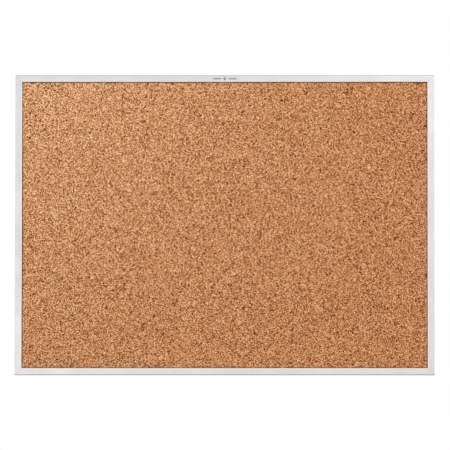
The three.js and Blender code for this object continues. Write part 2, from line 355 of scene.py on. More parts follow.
def floor_paint(recipe):
    spot = place_on_piece(recipe)
    from_middle = recipe.node("ShaderNodeVectorMath", {"operation": "LENGTH"}, {"Vector": spot}, "Value")
    fade = ((FLOOR_RADIUS - from_middle) / FLOOR_FADE).kept()
    mottle = noise(recipe, spot, 9, 3)
    shade = mixed(recipe, mottle, seen(243, 239, 232), seen(250, 246, 240))
    return {"Base Color": shade, "Roughness": 0.8, "Alpha": fade}


floor_mesh = bpy.data.meshes.new("floor")
disc = bmesh.new()
bmesh.ops.create_circle(disc, cap_ends=True, segments=96, radius=FLOOR_RADIUS)
disc.to_mesh(floor_mesh)
disc.free()
floor = bpy.data.objects.new("floor", floor_mesh)
floor.location.z = -half_height - FLOOR_BELOW
floor.visible_glossy = False
floor_mesh.materials.append(finished("pale_floor", floor_paint))
bpy.context.scene.collection.objects.link(floor)
floor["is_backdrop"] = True

left_out = bpy.data.collections.new("left_out_by_near_lamp")
left_out.objects.link(floor)
left_out.collection_objects[0].light_linking.link_state = "EXCLUDE"
bpy.data.objects["near_lamp"].light_linking.receiver_collection = left_out
print(f"floor {FLOOR_BELOW} m below the board")

# %% [markdown]
# ## The cork's finish
#
# Cork sheet is bark ground to grains of one or two millimetres and pressed with a little binder. Each grain
# has its own brown, the gaps between them are dark, and here and there is a fleck of the bark's dark outer
# layer.
#
# A picture of cork could be laid on the sheet, but a pattern made from cells needs no picture and never
# repeats. A Voronoi texture splits space into cells and gives each a random colour, which is what grains
# are. Two sizes of cell are mixed, and the place is stirred by noise first, so that the grains aren't all
# neatly rounded. A third and larger size gives the flecks. Fine noise stands for the pores in a grain, and
# slow noise for the clouds where the grains came from paler bark.

# %% Cork finish
GRAIN = 0.0016
FINE_GRAIN = 0.0009
FLECK = 0.0024
FLECK_SHARE = 0.05
GRAIN_CONTRAST = 1.6
STIR_SCALE = 520
STIR_REACH = 0.0012
GAP_WIDTH = 0.12  # as a share of a grain
PORE_SCALE = 2400
CLOUD_SCALE = 14
RELIEF_SCALE = 1400
RELIEF_HEIGHT = 0.00014
# The width of the painted shade along the frame's lip.
RIM_SHADE = 0.0021
# The darkest brown serves for the bark flecks and for the painted shade along the frame.
DARK_BARK_AND_SHADE = seen(62, 25, 8)
DARK_GRAIN = seen(106, 44, 10)
BROWN_GRAIN = seen(164, 83, 29)
MIDDLE_GRAIN = seen(197, 122, 65)
TAN_GRAIN = seen(210, 138, 84)
LIGHT_GRAIN = seen(229, 163, 110)
PALE_GRAIN = seen(247, 191, 140)


def grains(recipe, place, size, output, feature="F1"):
    """Voronoi cells of about that size in metres."""
    inputs = {"Vector": place, "Scale": 1 / size, "Randomness": 1.0}
    return recipe.node("ShaderNodeTexVoronoi", {"feature": feature}, inputs, output)


def random_of(recipe, colour, channel):
    """One channel of a cell's random colour: an even spread from 0 to 1."""
    return recipe.node("ShaderNodeSeparateColor", {}, {"Color": colour}, channel)


def painted_shade_under_lip(recipe, spot):
    """1 in a thin line of painted shade along the frame, where its lip shades the cork, and 0 on the open
    cork.
    """
    parts = recipe.node("ShaderNodeSeparateXYZ", {}, {"Vector": spot})
    masks = []
    for axis, half in (("X", half_width), ("Z", half_height)):
        from_middle = Wire(recipe.tree, pick(parts.outputs, axis)).size()
        masks.append(from_middle.past(half - FACE_WIDTH - RIM_SHADE, 1 / RIM_SHADE))
    return masks[0].sum("MAXIMUM", *masks)


def natural_cork(recipe):
    spot = place_on_piece(recipe)
    stir = bent(recipe, spot, STIR_SCALE, STIR_REACH)
    grain = random_of(recipe, grains(recipe, stir, GRAIN, "Color"), "Red")
    fine = random_of(recipe, grains(recipe, stir, FINE_GRAIN, "Color"), "Green")
    tone = (0.5 + GRAIN_CONTRAST * (0.66 * grain + 0.34 * fine - 0.5)).kept()
    stops = [
        (0.00, DARK_BARK_AND_SHADE),
        (0.15, DARK_GRAIN),
        (0.30, BROWN_GRAIN),
        (0.45, MIDDLE_GRAIN),
        (0.62, TAN_GRAIN),
        (0.80, LIGHT_GRAIN),
        (1.00, PALE_GRAIN),
    ]
    colour = recipe.node("ShaderNodeValToRGB", {"stops": stops}, {"Fac": tone}, "Color")
    pore = noise(recipe, spot, PORE_SCALE, 2).past(0.5, 3)
    colour = mixed(recipe, 0.3 * pore, colour, BROWN_GRAIN)
    gap = 1 - (grains(recipe, stir, GRAIN, "Distance", "DISTANCE_TO_EDGE") / GAP_WIDTH).kept()
    colour = mixed(recipe, 0.4 * gap, colour, DARK_GRAIN)
    fleck = random_of(recipe, grains(recipe, stir, FLECK, "Color"), "Blue") > 1 - FLECK_SHARE
    colour = mixed(recipe, fleck, colour, DARK_BARK_AND_SHADE)
    cloud = noise(recipe, spot, CLOUD_SCALE, 3)
    colour = mixed(recipe, 0.16 * cloud, colour, MIDDLE_GRAIN)
    # Painted shade: a thin dark line on the cork along the frame, where the lip shades the recess.
    colour = mixed(recipe, 0.95 * painted_shade_under_lip(recipe, spot), colour, DARK_BARK_AND_SHADE)
    hollow = 0.6 * grains(recipe, stir, GRAIN, "Distance") + 0.4 * noise(recipe, spot, RELIEF_SCALE, 2)
    return {
        "Base Color": colour,
        "Roughness": 0.84 + 0.1 * fine,
        "Specular IOR Level": 0.12,
        "Normal": raised(recipe, 1 - hollow, RELIEF_HEIGHT, 0.9),
    }


cork_finish = finished("natural_cork", natural_cork)

# %% [markdown]
# ## Metal finishes
#
# The rails are extruded and then anodised. The die leaves hair-fine lines along them, and the oxide makes
# the metal satin: it still reflects, but softly. Noise that is stretched along the rail gives the lines,
# and a slow cloud of noise varies how soft the reflection is, as handling does.
#
# Zinc plate, blued springs and black screws are other mixes of the same ideas, so one function writes them
# all. Zinc drifts between a cold and a yellowish grey within a centimetre, and every one of them has a few
# fine scuffs. The rails alone have an edge that is painted brighter than the rest: a painted highlight along
# their inner edge, which a mask on the distance inward finds.

# %% Metal finishes
# A painted highlight along the rails' inner edge: its width, how fast it fades in, and its colour.
PAINTED_HIGHLIGHT_WIDTH = 0.0022
PAINTED_HIGHLIGHT_FADE = 0.0002
PAINTED_HIGHLIGHT_COLOUR = seen(255, 252, 249)
SCUFF_BEND = 0.01
SCUFF_STRETCH = (60, 1500, 1500)


def metal(name, colour, drift, cloud_size, roughness, lines, line_height, painted_highlight_edge=False):
    """A metal whose colour drifts in clouds to a second one, with fine lines as `lines` says."""

    def paint(recipe):
        spot = place_on_piece(recipe)
        line = noise(recipe, stretched(recipe, spot, *lines), 1, 3, 0.6)
        patch = noise(recipe, spot, 1 / cloud_size, 4).past(0.35, 3.3)
        curved = bent(recipe, spot, 40, SCUFF_BEND)
        scuff = noise(recipe, stretched(recipe, curved, *SCUFF_STRETCH), 1, 2).past(0.62, 9)
        paint_colour = mixed(recipe, patch, seen(*colour), seen(*drift))
        # Painted highlight: the rail's inner edge is painted paler, as a lit rounded edge would look.
        if painted_highlight_edge:
            inward = recipe.node("ShaderNodeSeparateXYZ", {}, {"Vector": spot}, "Z")
            bright = inward.past(FACE_WIDTH - PAINTED_HIGHLIGHT_WIDTH, 1 / PAINTED_HIGHLIGHT_FADE)
            paint_colour = mixed(recipe, bright, paint_colour, PAINTED_HIGHLIGHT_COLOUR)
        return {
            "Base Color": paint_colour,
            "Metallic": 1.0,
            "Roughness": roughness + 0.12 * (patch - 0.5) + 0.14 * (line - 0.5) + 0.06 * scuff,
            "Normal": raised(recipe, line + 0.3 * scuff, line_height),
        }

    return finished(name, paint)


along_rail = (4, 1600, 1600)
pale_aluminium = ((249, 248, 248), (243, 242, 243))
satin_anodised = metal("satin_anodised", *pale_aluminium, 0.045, 0.36, along_rail, 0.00001, painted_highlight_edge=True)
zinc_plate = metal("zinc_plate", (214, 219, 228), (216, 209, 192), 0.009, 0.28, (420, 420, 420), 0.00002)
blued_spring = metal("blued_spring", (92, 102, 122), (118, 104, 92), 0.012, 0.3, (60, 900, 900), 0.00001)
black_oxide = metal("black_oxide", (46, 46, 49), (60, 56, 52), 0.003, 0.4, (700, 700, 700), 0.00001)

# %% [markdown]
# ## Board, paper and ink
#
# Softboard is wood fibre felted into a light board. Kraft paper is brown, with fibres lying every way.
# Noise that is stretched one way gives fibres that all run that way, and two such noises at right angles
# would look woven. So three pale ones and three dark ones are used, at angles that don't match, and the
# place is bent first, so that no fibre is quite straight. The ink is a plain grey with fine specks.

# %% Softboard, kraft paper and ink finishes
FELT_STRETCH = (900, 2600, 900)
FIBRE_STRETCH = (170, 300, 2600)
PALE_FIBRES = (12, 71, 133)  # degrees round the sheet
DARK_FIBRES = (44, 103, 160)


def softboard(recipe):
    spot = place_on_piece(recipe)
    fibre = noise(recipe, stretched(recipe, spot, *FELT_STRETCH), 1, 4, 0.65)
    clump = noise(recipe, spot, 160, 3)
    colour = mixed(recipe, fibre, seen(128, 100, 70), seen(190, 160, 122))
    return {
        "Base Color": mixed(recipe, 0.35 * clump, colour, seen(120, 92, 62)),
        "Roughness": 0.95,
        "Normal": raised(recipe, fibre, 0.0002),
    }


def fibres(recipe, spot, angles):
    """A mask of thin fibres that lie at those angles on the sheet."""
    masks = []
    for angle in angles:
        turn = {"Vector": spot, "Angle": math.radians(angle)}
        turned = recipe.node("ShaderNodeVectorRotate", {"rotation_type": "Y_AXIS"}, turn, "Vector")
        masks.append(noise(recipe, stretched(recipe, turned, *FIBRE_STRETCH), 1, 2).past(0.56, 6))
    return sum(masks[1:], masks[0]).kept()


def kraft(recipe):
    spot = bent(recipe, place_on_piece(recipe), 90, 0.006)
    pale = fibres(recipe, spot, PALE_FIBRES)
    dark = fibres(recipe, spot, DARK_FIBRES)
    pulp = noise(recipe, spot, 1300, 3, 0.6)
    cloud = noise(recipe, spot, 30, 4, 0.6)
    colour = mixed(recipe, pulp, seen(170, 131, 88), seen(196, 157, 112))
    colour = mixed(recipe, 0.28 * dark, colour, seen(128, 90, 54))
    colour = mixed(recipe, 0.35 * pale, colour, seen(216, 184, 142))
    return {
        "Base Color": mixed(recipe, 0.3 * cloud, colour, seen(166, 126, 84)),
        "Roughness": 0.72 + 0.12 * cloud,
        "Specular IOR Level": 0.3,
        "Normal": raised(recipe, 0.5 * pulp + 0.5 * pale, 0.00005),
    }


def grey_ink(recipe):
    speck = noise(recipe, place_on_piece(recipe), 2500, 2)
    return {
        "Base Color": mixed(recipe, speck, seen(128, 123, 120), seen(150, 145, 142)),
        "Roughness": 0.45 + 0.1 * speck,
    }


softboard_finish = finished("raw_softboard", softboard)
kraft_finish = finished("kraft_paper", kraft)
ink_finish = finished("grey_ink", grey_ink)

# %% [markdown]
# ## Where things go
#
# A rail is drawn once, lying along X with its inner side up, as the bottom rail lies. Quarter turns about Y
# make it a left, top or right rail. The same holds for the four corners. So every piece of the frame is
# drawn as if it belonged to the bottom rail or the bottom left corner, and one matrix carries it to its
# place.
#
# In that drawing X runs along the rail, Z goes inward from the board's outer edge, and -Y is the depth from
# the wall to the front.

# %% Places and pieces
QUARTER = math.pi / 2
SIDES = {
    "bottom": (0.0, -half_height, 0),
    "left": (-half_width, 0.0, QUARTER),
    "top": (0.0, half_height, 2 * QUARTER),
    "right": (half_width, 0.0, -QUARTER),
}
CORNERS = {
    "bottom_left": (-half_width, -half_height, 0),
    "top_left": (-half_width, half_height, QUARTER),
    "top_right": (half_width, half_height, 2 * QUARTER),
    "bottom_right": (half_width, -half_height, -QUARTER),
}


def stand(x, z, turn):
    """The matrix that carries a piece from the drawing to its place on the board."""
    return Matrix.Translation((x, 0, z)) @ Matrix.Rotation(turn, 4, "Y")


def along_side(side, node):
    """The place of a piece on a side, level with the middle of that node."""
    x, z, turn = SIDES[side]
    low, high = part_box(node)
    middle = (low + high) / 2
    return stand(middle.x, z, turn) if x == 0 else stand(x, middle.z, turn)


def depths(node):
    """How far from the wall a node starts and ends."""
    low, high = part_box(node)
    return -high.y, -low.y


def inward_span(side, node):
    """How far inward from the board's outer edge a node on that side starts and ends."""
    low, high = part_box(node)
    if side in ("top", "bottom"):
        spots = [half_height - abs(low.z), half_height - abs(high.z)]
    else:
        spots = [half_width - abs(low.x), half_width - abs(high.x)]
    return min(spots), max(spots)


def long_side(node):
    """The length of a node along its rail."""
    low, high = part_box(node)
    return max(high.x - low.x, high.z - low.z)


def add_piece(name, mesh, finish, body="board", place=Matrix(), nodes=()):
    """Puts a finished mesh on the board, riding on its body and standing for CAD nodes."""
    piece = bpy.data.objects.new(name, mesh)
    bpy.context.scene.collection.objects.link(piece)
    piece.matrix_world = place
    piece.data.materials.append(finish)
    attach(piece, body)
    if nodes:
        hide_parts(*nodes)
    return piece


# %% [markdown]
# A mesh reads as hard metal or soft board by how its corners shade. Faces are shaded smooth, edges sharper
# than a limit stay sharp, and a Weighted Normal modifier lets the large flat faces decide the normals, so
# that a thin rounded edge doesn't smear its shade across them.

# %% Shading helpers
SHARP_ANGLE = math.radians(35)
SAME_POINT = 1e-7


def solid_mesh(name, build):
    """A mesh with its faces turned outward and shaded smooth, from a function that fills a bmesh."""
    shape = bmesh.new()
    build(shape)
    bmesh.ops.remove_doubles(shape, verts=shape.verts, dist=SAME_POINT)
    bmesh.ops.recalc_face_normals(shape, faces=shape.faces)
    open_edges = sum(not edge.is_manifold for edge in shape.edges)
    mesh = bpy.data.meshes.new(name)
    shape.to_mesh(mesh)
    shape.free()
    mesh.shade_smooth()
    mesh.set_sharp_from_angle(angle=SHARP_ANGLE)
    print(f"{name}: {len(mesh.polygons)} faces, {open_edges} open edges")
    return mesh


def weigh_normals(piece):
    modifier = piece.modifiers.new("weighted_normals", "WEIGHTED_NORMAL")
    modifier.keep_sharp = True


# %% [markdown]
# ## The rails
#
# One extrusion makes all four rails. Its section has a foot on the wall, a channel for the hardware that is
# open to the back, a web, a groove that holds the panel, and the front flange that shows round the cork. A
# die can't cut a perfectly sharp corner, so each corner of the outline gets a small arc, and the two front
# edges larger ones.
#
# The section could be drawn as a Blender curve and beveled along a path, but a mitred end is simplest by
# sums: each point of the end moves along the rail by as much as it lies inward, which is a cut at 45
# degrees.

# %% Extrusion section
WALL = 0.00125
FOOT = 0.003
LIP_BACK = 0.003
LIP_FRONT = LIP_BACK + WALL
OUTER_LIP = 0.0035
INNER_LIP = 0.00225
CHANNEL_END = 0.013
WEB_BACK = 0.0075
FLANGE_LIP = 0.00275
DIE_ROUND = 0.0002
OUTER_ROUND = 0.002
INNER_ROUND = 0.0012
DIE_STEPS = 3
FRONT_STEPS = 10
INK = 0.00004
rail_front = face_depth - INK  # leaves room for the print on the top rail


def arc_at(corner, before, after, radius):
    """The points of an arc that rounds off one corner of an outline."""
    towards = [(end - corner).normalized() for end in (before, after)]
    half = towards[0].angle(towards[1]) / 2
    centre = corner + (towards[0] + towards[1]).normalized() * radius / math.sin(half)
    first, last = [corner + way * radius / math.tan(half) - centre for way in towards]
    steps = DIE_STEPS if radius < 2 * DIE_ROUND else FRONT_STEPS
    sweep = first.angle_signed(last)
    return [centre + Matrix.Rotation(-sweep * step / steps, 2) @ first for step in range(steps + 1)]


def rounded(corners):
    """A closed outline from corners given as (across, up, radius)."""
    points = [Vector(corner[:2]) for corner in corners]
    outline = []
    for i, (point, (_, _, radius)) in enumerate(zip(points, corners)):
        outline += arc_at(point, points[i - 1], points[(i + 1) % len(points)], radius)
    return outline


def rail_section():
    """The section as points (inward, depth), from the wall to the front and back."""
    inner_wall = CHANNEL_END - WALL
    web_front = WEB_BACK + WALL
    flange_back = rail_front - WALL
    lip = face_depth - FLANGE_LIP
    sharp = [
        (0, 0),
        (FOOT, 0),
        (FOOT, WALL),
        (WALL, WALL),
        (WALL, LIP_BACK),
        (WALL + OUTER_LIP, LIP_BACK),
        (WALL + OUTER_LIP, LIP_FRONT),
        (WALL, LIP_FRONT),
        (WALL, WEB_BACK),
        (inner_wall, WEB_BACK),
        (inner_wall, LIP_FRONT),
        (inner_wall - INNER_LIP, LIP_FRONT),
        (inner_wall - INNER_LIP, LIP_BACK),
        (CHANNEL_END, LIP_BACK),
        (CHANNEL_END, web_front),
        (WALL, web_front),
        (WALL, flange_back),
        (FACE_WIDTH - WALL, flange_back),
        (FACE_WIDTH - WALL, lip),
        (FACE_WIDTH, lip),
    ]
    corners = [(inward, depth, DIE_ROUND) for inward, depth in sharp]
    return rounded([*corners, (FACE_WIDTH, rail_front, INNER_ROUND), (0, rail_front, OUTER_ROUND)])


section = rail_section()
print(f"section of {len(section)} points, face {FACE_WIDTH * 1000:.1f} mm wide")

# %% Rails
def rail_mesh(name, length):
    """A length of the extrusion with both ends mitred. The ends stop where the CAD rail's do."""

    def build(shape):
        ends = []
        for hand in (-1, 1):
            ring = [(hand * (length / 2 - inward), -depth, inward) for inward, depth in section]
            ends.append([shape.verts.new(point) for point in ring])
        for i in range(len(section)):
            shape.faces.new([ends[0][i - 1], ends[0][i], ends[1][i], ends[1][i - 1]])
        for ring in ends:
            shape.faces.new(ring)

    return solid_mesh(name, build)


for side, spot in SIDES.items():
    node = f"{side}_rail"
    name = f"rail_{side}"
    mesh = rail_mesh(name, long_side(node))
    rail = add_piece(name, mesh, satin_anodised, "board", stand(*spot), [node])
    weigh_normals(rail)

# %% [markdown]
# ## The cork face
#
# Pressed cork isn't quite flat: grains stand a hair proud and pits show where one has torn out. A bump map
# could fake that, but from the side the face would still be a plane. So the face is a fine net of points,
# each nudged sideways at random and pushed in or out by hundredths of a millimetre, with a deeper pit here
# and there.
#
# The same builder makes the backing paper, whose surface is a slow cockle in place of grains. Random
# numbers come from a generator with a fixed seed, so that the board is the same each time.

# %% Sheets with a living surface
SEED = 7


def sheet_mesh(name, node, front_is_live, step, nudge, relief):
    """A sheet that fills a node's box. `relief` gives how far each point of its live face stands out."""
    low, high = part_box(node)
    columns = round((high.x - low.x) / step)
    rows = round((high.z - low.z) / step)
    across, up = np.meshgrid(
        np.linspace(low.x, high.x, columns + 1),
        np.linspace(low.z, high.z, rows + 1),
    )
    inside = np.zeros_like(across)
    inside[1:-1, 1:-1] = 1
    random = np.random.default_rng(SEED)
    across = across + inside * random.uniform(-nudge, nudge, across.shape) * step
    up = up + inside * random.uniform(-nudge, nudge, up.shape) * step
    face, flat = (low.y, high.y) if front_is_live else (high.y, low.y)
    out = math.copysign(1, face - flat)
    depth = face + out * inside * relief(across, up, random)

    def build(shape):
        net = [[shape.verts.new(p) for p in zip(*line)] for line in zip(across, depth, up)]
        for lower, upper in zip(net, net[1:]):
            for i in range(columns):
                shape.faces.new([lower[i], lower[i + 1], upper[i + 1], upper[i]])
        right = [line[-1] for line in net[:-1]]
        left = [line[0] for line in net[:0:-1]]
        rim = [*net[0][:-1], *right, *net[-1][:0:-1], *left]
        far = [shape.verts.new((v.co.x, flat, v.co.z)) for v in rim]
        for i in range(len(rim)):
            shape.faces.new([rim[i - 1], rim[i], far[i], far[i - 1]])
        shape.faces.new(far)

    return solid_mesh(name, build)


CORK_STEP = 0.0026
CORK_NUDGE = 0.34  # as a share of a step
GRAIN_RISE = 0.00004
GRAIN_LIMIT = 0.0001
PIT_SHARE = 0.07
PIT_DEPTHS = (0.0001, 0.0003)


def cork_relief(across, up, random):
    grain = random.normal(0, GRAIN_RISE, across.shape)
    pit = (random.random(across.shape) < PIT_SHARE) * random.uniform(*PIT_DEPTHS, across.shape)
    return np.clip(grain, -GRAIN_LIMIT, GRAIN_LIMIT) - pit


cork = sheet_mesh("cork_face", "cork_sheet", True, CORK_STEP, CORK_NUDGE, cork_relief)
add_piece("cork_face", cork, cork_finish, nodes=["cork_sheet"])


# %% Backing paper
PAPER_STEP = 0.012
COCKLE_HEIGHT = 0.0003
GLUED_RIM = 0.03
RIM_EASE = 0.05


def paper_cockle(across, up, random):
    """Crossed waves that bend one another and die away towards the glued rim."""
    ripple = np.sin(across * 23 + 2 * np.sin(up * 11)) * np.sin(up * 17 + 1.5 * np.sin(across * 9 + 1))
    from_rim = np.minimum(half_width - np.abs(across), half_height - np.abs(up))
    return COCKLE_HEIGHT * (1 + ripple) / 2 * np.clip((from_rim - GLUED_RIM) / RIM_EASE, 0, 1)


paper = sheet_mesh("backing_sheet", "backing_paper", False, PAPER_STEP, 0, paper_cockle)
add_piece("backing_sheet", paper, kraft_finish, nodes=["backing_paper"])

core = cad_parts["fibreboard_core"]
core.data.materials.clear()
core.data.materials.append(softboard_finish)

# %% [markdown]
# ## Stamped plates
#
# The corner keys, their shims, the hanger plates and the slide nuts are all sheet steel cut to an outline,
# and a press leaves their edges slightly rounded. A flat 2D curve is made for this: Blender fills it,
# leaves its inner loops open as holes, gives it a thickness and rounds its edges, and then it is turned
# into a mesh.

# %% Plates from outlines
EDGE_ROUND = 0.00012


def ring(across, up, radius, start=0.0, sweep=2 * math.pi, steps=40):
    """Points along an arc, or round a whole circle."""
    last = steps if abs(sweep) < 2 * math.pi else steps - 1
    turns = [start + sweep * step / steps for step in range(last + 1)]
    return [Vector((across + radius * math.cos(turn), up + radius * math.sin(turn))) for turn in turns]


def plate_mesh(name, rims, start, end):
    """Sheet metal between two depths. The first rim is its edge, and the others are its holes."""
    curve = bpy.data.curves.new(name, "CURVE")
    curve.dimensions = "2D"
    curve.fill_mode = "BOTH"
    curve.extrude = (end - start) / 2 - EDGE_ROUND
    curve.bevel_depth = EDGE_ROUND
    curve.bevel_resolution = 2
    curve.offset = -EDGE_ROUND
    for rim in rims:
        spline = curve.splines.new("POLY")
        spline.points.add(len(rim) - 1)
        for point, place in zip(spline.points, rim):
            point.co = (*place, 0, 1)
        spline.use_cyclic_u = True
    holder = bpy.data.objects.new(name, curve)
    flat = bpy.data.meshes.new_from_object(holder)
    flat.transform(Matrix.Translation((0, -(start + end) / 2, 0)) @ Matrix.Rotation(QUARTER, 4, "X"))
    mesh = solid_mesh(name, lambda shape: shape.from_mesh(flat))
    bpy.data.objects.remove(holder)
    bpy.data.meshes.remove(flat)
    return mesh


# %% [markdown]
# ## Corner keys and shims
#
# An L of steel slides into the channels of two rails and holds them square. Its two set screws push on a
# thinner L behind it, and that draws the key hard against the channel's lips.

# %% Corner keys and shims
CHAMFER = 0.002
SCREW_ALONG = 0.033
MOUTH_MIDDLE = (WALL + OUTER_LIP + CHANNEL_END - WALL - INNER_LIP) / 2
SCREW_HOLE = 0.00225


def angle_outline(near, far, arm):
    """An L from its outer corner, with the ends of its arms chamfered."""
    corners = [
        (near, near, CHAMFER),
        (arm, near, CHAMFER),
        (arm, far, CHAMFER),
        (far, far, EDGE_ROUND * 4),
        (far, arm, CHAMFER),
        (near, arm, CHAMFER),
    ]
    return rounded(corners)


def corner_plate(kind, corner, holes):
    """A key or a shim, at the size of its node."""
    node = f"corner_{kind}_{corner}"
    x, z, turn = CORNERS[corner]
    low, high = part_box(node)
    near = min(abs(x - low.x), abs(x - high.x))
    arm = max(abs(x - low.x), abs(x - high.x))
    far = CHANNEL_END - near
    rims = [angle_outline(near, far, arm), *holes]
    name = f"angle_{kind}_{corner}"
    mesh = plate_mesh(name, rims, *depths(node))
    plate = add_piece(name, mesh, zinc_plate, "board", stand(x, z, turn), [node])
    weigh_normals(plate)


screw_places = {"a": (SCREW_ALONG, MOUTH_MIDDLE), "b": (MOUTH_MIDDLE, SCREW_ALONG)}
key_holes = [ring(*spot, SCREW_HOLE)[::-1] for spot in screw_places.values()]
for corner in CORNERS:
    corner_plate("key", corner, key_holes)
    corner_plate("shim", corner, [])

# %% [markdown]
# ## Screws
#
# A thread is a groove that climbs one pitch in each turn. Its surface can be written as one formula: the
# radius depends on the height and on the angle together. Rings of points follow that formula up the bar, so
# the thread is real geometry.
#
# A screwdriver's slot or cross is cut from the finished bar by a Boolean modifier, which is then applied.

# %% Threaded bars
PITCH = 0.0007
SCREW_RADIUS = 0.002
THREAD_DEPTH = 0.0003
RING_POINTS = 36
RINGS_PER_PITCH = 6


def thread_radius(height, turn, start, end):
    """The radius at a height and an angle, fading to a plain cone at both ends."""
    phase = (height / PITCH - turn / (2 * math.pi)) % 1
    groove = THREAD_DEPTH * (1 - abs(2 * phase - 1))
    lead = min(height - start, end - height)
    return min(SCREW_RADIUS - groove, SCREW_RADIUS - THREAD_DEPTH + max(lead, 0))


def lathe(shape, profile):
    """Closes rings of (radius as a function of angle, height) into a turned solid along the depth."""
    turns = [2 * math.pi * i / RING_POINTS for i in range(RING_POINTS)]
    rings = []
    for radius, height in profile:
        spots = [(radius(turn) * math.cos(turn), -height, radius(turn) * math.sin(turn)) for turn in turns]
        rings.append([shape.verts.new(spot) for spot in spots])
    for below, above in zip(rings, rings[1:]):
        for i in range(RING_POINTS):
            shape.faces.new([below[i - 1], below[i], above[i], above[i - 1]])
    shape.faces.new(rings[0])
    shape.faces.new(rings[-1])


def threaded(start, end):
    """The rings of a threaded bar between two depths."""
    count = round((end - start) / PITCH * RINGS_PER_PITCH)
    heights = [start + (end - start) * i / count for i in range(count + 1)]
    return [(lambda turn, h=height: thread_radius(h, turn, start, end), height) for height in heights]


def cut_mesh(mesh, blocks):
    """The mesh with boxes taken out of it. Each block is its low and high corner."""
    body = bpy.data.objects.new("body", mesh)
    bpy.context.scene.collection.objects.link(body)
    tools = []
    for low, high in blocks:
        shape = bmesh.new()
        bmesh.ops.create_cube(shape, size=1)
        middle = (Vector(low) + Vector(high)) / 2
        size = Vector(high) - Vector(low)
        box = Matrix.Translation(middle) @ Matrix.Diagonal((*size, 1))
        bmesh.ops.transform(shape, matrix=box, verts=shape.verts)
        cutter = bpy.data.meshes.new("cutter")
        shape.to_mesh(cutter)
        shape.free()
        tool = bpy.data.objects.new("cutter", cutter)
        bpy.context.scene.collection.objects.link(tool)
        tools.append(tool)
        modifier = body.modifiers.new("cut", "BOOLEAN")
        modifier.object = tool
        modifier.operation = "DIFFERENCE"
        modifier.solver = "EXACT"
    bpy.context.view_layer.update()
    result = bpy.data.meshes.new_from_object(body.evaluated_get(bpy.context.evaluated_depsgraph_get()))
    for thing in [body, *tools]:
        bpy.data.objects.remove(thing)
    result.set_sharp_from_angle(angle=SHARP_ANGLE)
    return result


# %% Set screws of the corner keys
SLOT_WIDTH = 0.0008
SLOT_DEPTH = 0.0009

screw_start, screw_end = depths("key_screw_bottom_left_a")
set_screw = solid_mesh("set_screw", lambda shape: lathe(shape, threaded(screw_start, screw_end)))
slot_low = (-2 * SCREW_RADIUS, -screw_start - SLOT_DEPTH, -SLOT_WIDTH / 2)
slot_high = (2 * SCREW_RADIUS, 0, SLOT_WIDTH / 2)
set_screw = cut_mesh(set_screw, [(slot_low, slot_high)])
print(f"set screw: {len(set_screw.polygons)} faces")

for corner, (x, z, turn) in CORNERS.items():
    for letter, (along, inward) in screw_places.items():
        place = stand(x, z, turn) @ Matrix.Translation((along, 0, inward))
        name = f"set_screw_{corner}_{letter}"
        nodes = [f"key_screw_{corner}_{letter}"]
        add_piece(name, set_screw.copy(), black_oxide, "board", place, nodes)

# %% [markdown]
# ## Panel springs
#
# Each spring is a strip of blued steel, bowed so that its middle bears on the rail's web and its ends press
# the panel forward. A strip with a bow is a thin lens seen from the side, so it is drawn as that: points
# along the bow, offset to both faces, and swept across the width. Its corners are clipped, as on a real
# strip.

# %% Panel springs
SPRING_WIDTH = 0.014
SPRING_CLIP = 0.003
SPRING_THICKNESS = 0.0004
BOW_STEPS = 28


def spring_mesh(name, length, back, front):
    """A bowed strip whose middle is at the back depth and whose ends reach the front depth."""
    rise = front - back - SPRING_THICKNESS
    spots = [i / BOW_STEPS * 2 - 1 for i in range(BOW_STEPS + 1)]

    def build(shape):
        faces = []
        for lift in (0, SPRING_THICKNESS):
            rows = []
            for spot in spots:
                clip = max(0, abs(spot) * length / 2 - (length / 2 - SPRING_CLIP))
                half = SPRING_WIDTH / 2 - clip
                depth = back + rise * spot * spot + lift
                across = [(spot * length / 2, -depth, hand * half) for hand in (-1, 0, 1)]
                rows.append([shape.verts.new(point) for point in across])
            faces.append(rows)
        for rows in faces:
            for near, far in zip(rows, rows[1:]):
                for i in (0, 1):
                    shape.faces.new([near[i], near[i + 1], far[i + 1], far[i]])
        below, above = [
            [row[0] for row in rows] + [rows[-1][1]] + [row[2] for row in rows[::-1]] + [rows[0][1]]
            for rows in faces
        ]
        for i in range(len(below)):
            shape.faces.new([below[i - 1], below[i], above[i], above[i - 1]])

    return solid_mesh(name, build)


for side in SIDES:
    count = sum(node.startswith(f"panel_spring_{side}_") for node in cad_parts)
    for number in range(1, count + 1):
        node = f"panel_spring_{side}_{number}"
        name = f"bow_spring_{side}_{number}"
        inward = sum(inward_span(side, node)) / 2
        place = along_side(side, node) @ Matrix.Translation((0, 0, inward))
        mesh = spring_mesh(name, long_side(node), *depths(node))
        spring = add_piece(name, mesh, blued_spring, "board", place, [node])
        weigh_normals(spring)

# %% [markdown]
# ## Keyhole hangers
#
# A hanger is a plate with a keyhole, held to the channel by a screw and a nut that slides behind the lips.
# Loosen the screw and the hanger moves along the rail to meet the wall's own screw. The keyhole's slot runs
# both ways, so the same plate serves the top and the bottom rail.

# %% Keyhole hangers
PLATE_ROUNDS = (0.0005, 0.005)
NUT_ROUNDS = (0.001, 0.001)
KEYHOLE_INWARD = 0.027
KEYHOLE_RADIUS = 0.005
KEYHOLE_SLOT = 0.005
KEYHOLE_TRAVEL = 0.0075
HEAD_RADIUS = 0.00375
CROSS_REACH = 0.0023
CROSS_WIDTH = 0.0011
CROSS_DEPTH = 0.0012
HEAD_EDGE = 0.0007
HEAD_STEPS = 8
HEAD_CLEARANCE = 0.0001
ARC_STEPS = 16


